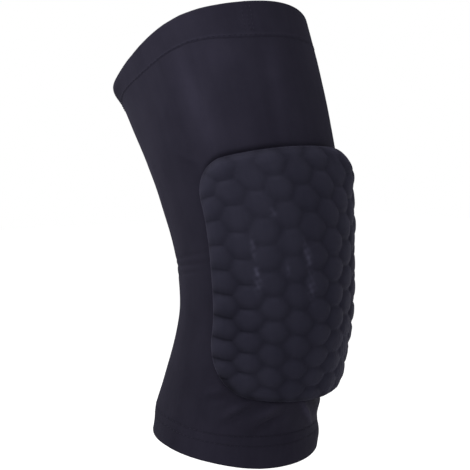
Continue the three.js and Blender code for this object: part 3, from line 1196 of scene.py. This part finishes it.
def knit_material(name, dark, light, mark, mark_floor, wale_mm, course_mm, roughness, sheen):
    """Dyed knit. The point numbers called mark set its shade: mark_floor at 0, full colour at 1."""
    nodes = Nodes(name)
    cloth = nodes.shader
    cloth.inputs["Specular IOR Level"].default_value = 0.14
    cloth.inputs["Specular Tint"].default_value = GLOSS_TINT
    cloth.inputs["Sheen Weight"].default_value = sheen
    cloth.inputs["Sheen Roughness"].default_value = 0.4
    cloth.inputs["Sheen Tint"].default_value = GLOSS_TINT
    where = nodes.add("ShaderNodeTexCoord")
    blotch = nodes.noise(where.outputs["Object"], BLOTCH_SCALE, 6)
    stretch = nodes.add("ShaderNodeMapping")
    stretch.inputs["Scale"].default_value = STREAK_SCALE
    place = nodes.add("ShaderNodeUVMap", uv_map=CLOTH_LAYER)
    nodes.link(place.outputs["UV"], stretch.inputs["Vector"])
    streak = nodes.noise(stretch.outputs["Vector"], 1.0, 3)
    mixed = nodes.math("MULTIPLY_ADD", streak, 0.5, nodes.math("MULTIPLY", blotch, 0.5))
    colour = nodes.ramp(mixed, (0.36, dark), (0.64, light))
    # the mark's numbers bring painted light and painted shade into the colour
    attribute = nodes.add("ShaderNodeAttribute", attribute_name=mark)
    shade = nodes.span(attribute.outputs["Fac"], mark_floor, 1.0)
    nodes.link(nodes.darken(colour, shade), cloth.inputs["Base Color"])
    gloss = nodes.span(mixed, roughness + GLOSS_VARIES, roughness - GLOSS_VARIES)
    nodes.link(gloss, cloth.inputs["Roughness"])
    bump = nodes.add("ShaderNodeBump")
    bump.inputs["Distance"].default_value = KNIT_RELIEF * MM
    bump.inputs["Strength"].default_value = 0.5
    nodes.link(knit_height(nodes, wale_mm, course_mm), bump.inputs["Height"])
    nodes.link(bump.outputs["Normal"], cloth.inputs["Normal"])
    return nodes.material


print("knit relief:", KNIT_RELIEF, "mm")

# %% Knit of the sleeve and hems
NAVY = (0.0195, 0.0178, 0.0290)
NAVY_LIGHT = (0.0265, 0.0242, 0.0385)
NAVY_KNIT = dict(dark=NAVY, light=NAVY_LIGHT, mark="open", mark_floor=0.15,
                 wale_mm=0.8, course_mm=0.7, sheen=0.05)
sleeve_knit = knit_material("sleeve_knit_navy", roughness=0.66, **NAVY_KNIT)
hem_knit = knit_material("hem_knit_navy", roughness=0.68, **NAVY_KNIT)
sleeve.data.materials.append(sleeve_knit)
thigh_hem.data.materials.append(hem_knit)
calf_hem.data.materials.append(hem_knit)
print("knit columns every", NAVY_KNIT["wale_mm"], "mm")

# %% [markdown]
# ## The pad's cover
# The pad wears the same knit, pressed by the mould, in a paler navy, with painted shade in its
# grooves and along its edge. A shader could find the hollows by their curvature, but the pad's own
# formula already knows them. So the mesh carries a number for every point, 1 on top of a cell and
# less where shade is painted, and the colour follows it.

# %% Knit of the pad
PAD_NAVY = (0.0305, 0.0298, 0.0475)
PAD_NAVY_LIGHT = (0.0402, 0.0391, 0.0603)
pad_knit = knit_material("pad_knit_navy", dark=PAD_NAVY, light=PAD_NAVY_LIGHT, mark="crown",
                         mark_floor=0.68, wale_mm=0.7, course_mm=0.6, roughness=0.64, sheen=0.12)
pad.data.materials.append(pad_knit)
print("pad knit:", pad_knit.name)

# %% [markdown]
# ## The thread
# The seams are sewn with twisted thread in the cloth's colour. At this size its twist is only a
# flicker of tone, so a fine noise is enough, with no pattern that would have to follow each stitch.

# %% Thread
THREAD_DARK = (0.018, 0.017, 0.027)
THREAD_LIGHT = (0.031, 0.029, 0.044)
TWIST_SCALE = 1400


def thread_material():
    """Twisted thread, a shade paler than the cloth."""
    nodes = Nodes("thread_navy")
    nodes.shader.inputs["Specular IOR Level"].default_value = 0.2
    nodes.shader.inputs["Specular Tint"].default_value = GLOSS_TINT
    where = nodes.add("ShaderNodeTexCoord")
    twist = nodes.noise(where.outputs["Object"], TWIST_SCALE, 2)
    colour = nodes.ramp(twist, (0.3, THREAD_DARK), (0.7, THREAD_LIGHT))
    nodes.link(colour, nodes.shader.inputs["Base Color"])
    nodes.link(nodes.span(twist, 0.5, 0.7), nodes.shader.inputs["Roughness"])
    return nodes.material


thread_navy = thread_material()
for stitches in (thigh_stitches, calf_stitches, hem_join):
    stitches.data.materials.append(thread_navy)
print("materials:", [m.name for m in bpy.data.materials])

# %% [markdown]
# ## Floor and light
# Dark cloth on white is lit softly. One strong lamp would leave hard shadows. Instead a pale dome,
# brightest at the left front, fills them, two wide lamps at the upper left model the form, and a
# weak one low at the right picks out the far edge. The floor lies a little below the part, which
# is held up by its mount. It shines a little of its own, so that it stays as white as the backdrop
# behind it.

# %% Floor
FLOOR_DROP = 0.06
FLOOR_HALF = 3.0


def make_floor():
    z = cad_low.z - FLOOR_DROP
    spots = [(-FLOOR_HALF, -FLOOR_HALF, z), (FLOOR_HALF, -FLOOR_HALF, z),
             (FLOOR_HALF, FLOOR_HALF, z), (-FLOOR_HALF, FLOOR_HALF, z)]
    mesh = bpy.data.meshes.new("floor")
    mesh.from_pydata(spots, [], [(0, 1, 2, 3)])
    floor = bpy.data.objects.new("floor", mesh)
    bpy.context.scene.collection.objects.link(floor)
    paint = bpy.data.materials.new("floor_paint")
    paint.use_nodes = True
    shader = paint.node_tree.nodes["Principled BSDF"]
    shader.inputs["Base Color"].default_value = (0.9, 0.9, 0.9, 1)
    shader.inputs["Roughness"].default_value = 0.9
    shader.inputs["Emission Color"].default_value = (1, 1, 1, 1)
    shader.inputs["Emission Strength"].default_value = 0.7
    mesh.materials.append(paint)
    floor.visible_diffuse = False
    floor.visible_glossy = False
    return floor


floor = make_floor()
print("floor at", round(floor.data.vertices[0].co.z, 3), "m")

# %% Dome
DOME_SEEN = 1.0
DOME_TOWARDS = Vector((-0.87, -0.5, 0))
DOME_DIM = 0.10
DOME_BRIGHT = 0.63


def make_dome():
    """White to look at, dimmer as a light and brightest on one side, so that the cloth stays dark."""
    world = bpy.data.worlds.new("studio")
    world.use_nodes = True
    tree = world.node_tree
    tree.nodes.clear()
    output = tree.nodes.new("ShaderNodeOutputWorld")
    seen = tree.nodes.new("ShaderNodeBackground")
    seen.inputs["Color"].default_value = (1, 1, 1, 1)
    seen.inputs["Strength"].default_value = DOME_SEEN
    fill = tree.nodes.new("ShaderNodeBackground")
    fill.inputs["Color"].default_value = (1, 1, 1, 1)
    where = tree.nodes.new("ShaderNodeTexCoord")
    towards = tree.nodes.new("ShaderNodeVectorMath")
    towards.operation = "DOT_PRODUCT"
    towards.inputs[1].default_value = DOME_TOWARDS.normalized()
    climb = tree.nodes.new("ShaderNodeMapRange")
    climb.inputs["From Min"].default_value = -1
    climb.inputs["To Min"].default_value = DOME_DIM
    climb.inputs["To Max"].default_value = DOME_BRIGHT
    path = tree.nodes.new("ShaderNodeLightPath")
    mix = tree.nodes.new("ShaderNodeMixShader")
    tree.links.new(where.outputs["Generated"], towards.inputs[0])
    tree.links.new(towards.outputs["Value"], climb.inputs["Value"])
    tree.links.new(climb.outputs["Result"], fill.inputs["Strength"])
    tree.links.new(path.outputs["Is Camera Ray"], mix.inputs[0])
    tree.links.new(fill.outputs[0], mix.inputs[1])
    tree.links.new(seen.outputs[0], mix.inputs[2])
    tree.links.new(mix.outputs[0], output.inputs["Surface"])
    bpy.context.scene.world = world


make_dome()
bpy.context.scene.view_settings.view_transform = "Standard"
print("dome brightest towards", [round(v, 2) for v in DOME_TOWARDS.normalized()])

# %% Lamps
LAMP_AIM = Vector((0, 0.02, 0.04))


def make_lamp(name, azimuth, elevation, distance, size, watts):
    """A square lamp that looks at the middle of the part, placed as the camera is."""
    _, _, back = view_axes(azimuth, elevation)
    data = bpy.data.lights.new(name, "AREA")
    data.shape = "SQUARE"
    data.size = size
    data.energy = watts
    lamp = bpy.data.objects.new(name, data)
    lamp.location = LAMP_AIM + back * distance
    lamp.rotation_mode = "QUATERNION"
    lamp.rotation_quaternion = (-back).to_track_quat("-Z", "Y")
    bpy.context.scene.collection.objects.link(lamp)
    return lamp


key = make_lamp("key_lamp", azimuth=-80, elevation=62, distance=0.8, size=0.5, watts=2.0)
side = make_lamp("side_lamp", azimuth=-125, elevation=50, distance=0.7, size=0.4, watts=1.5)
rim = make_lamp("rim_lamp", azimuth=95, elevation=-20, distance=0.5, size=0.3, watts=0.16)
print("lamps:", [(lamp.name, round(lamp.data.energy, 2)) for lamp in (key, side, rim)], "W")

# %% [markdown]
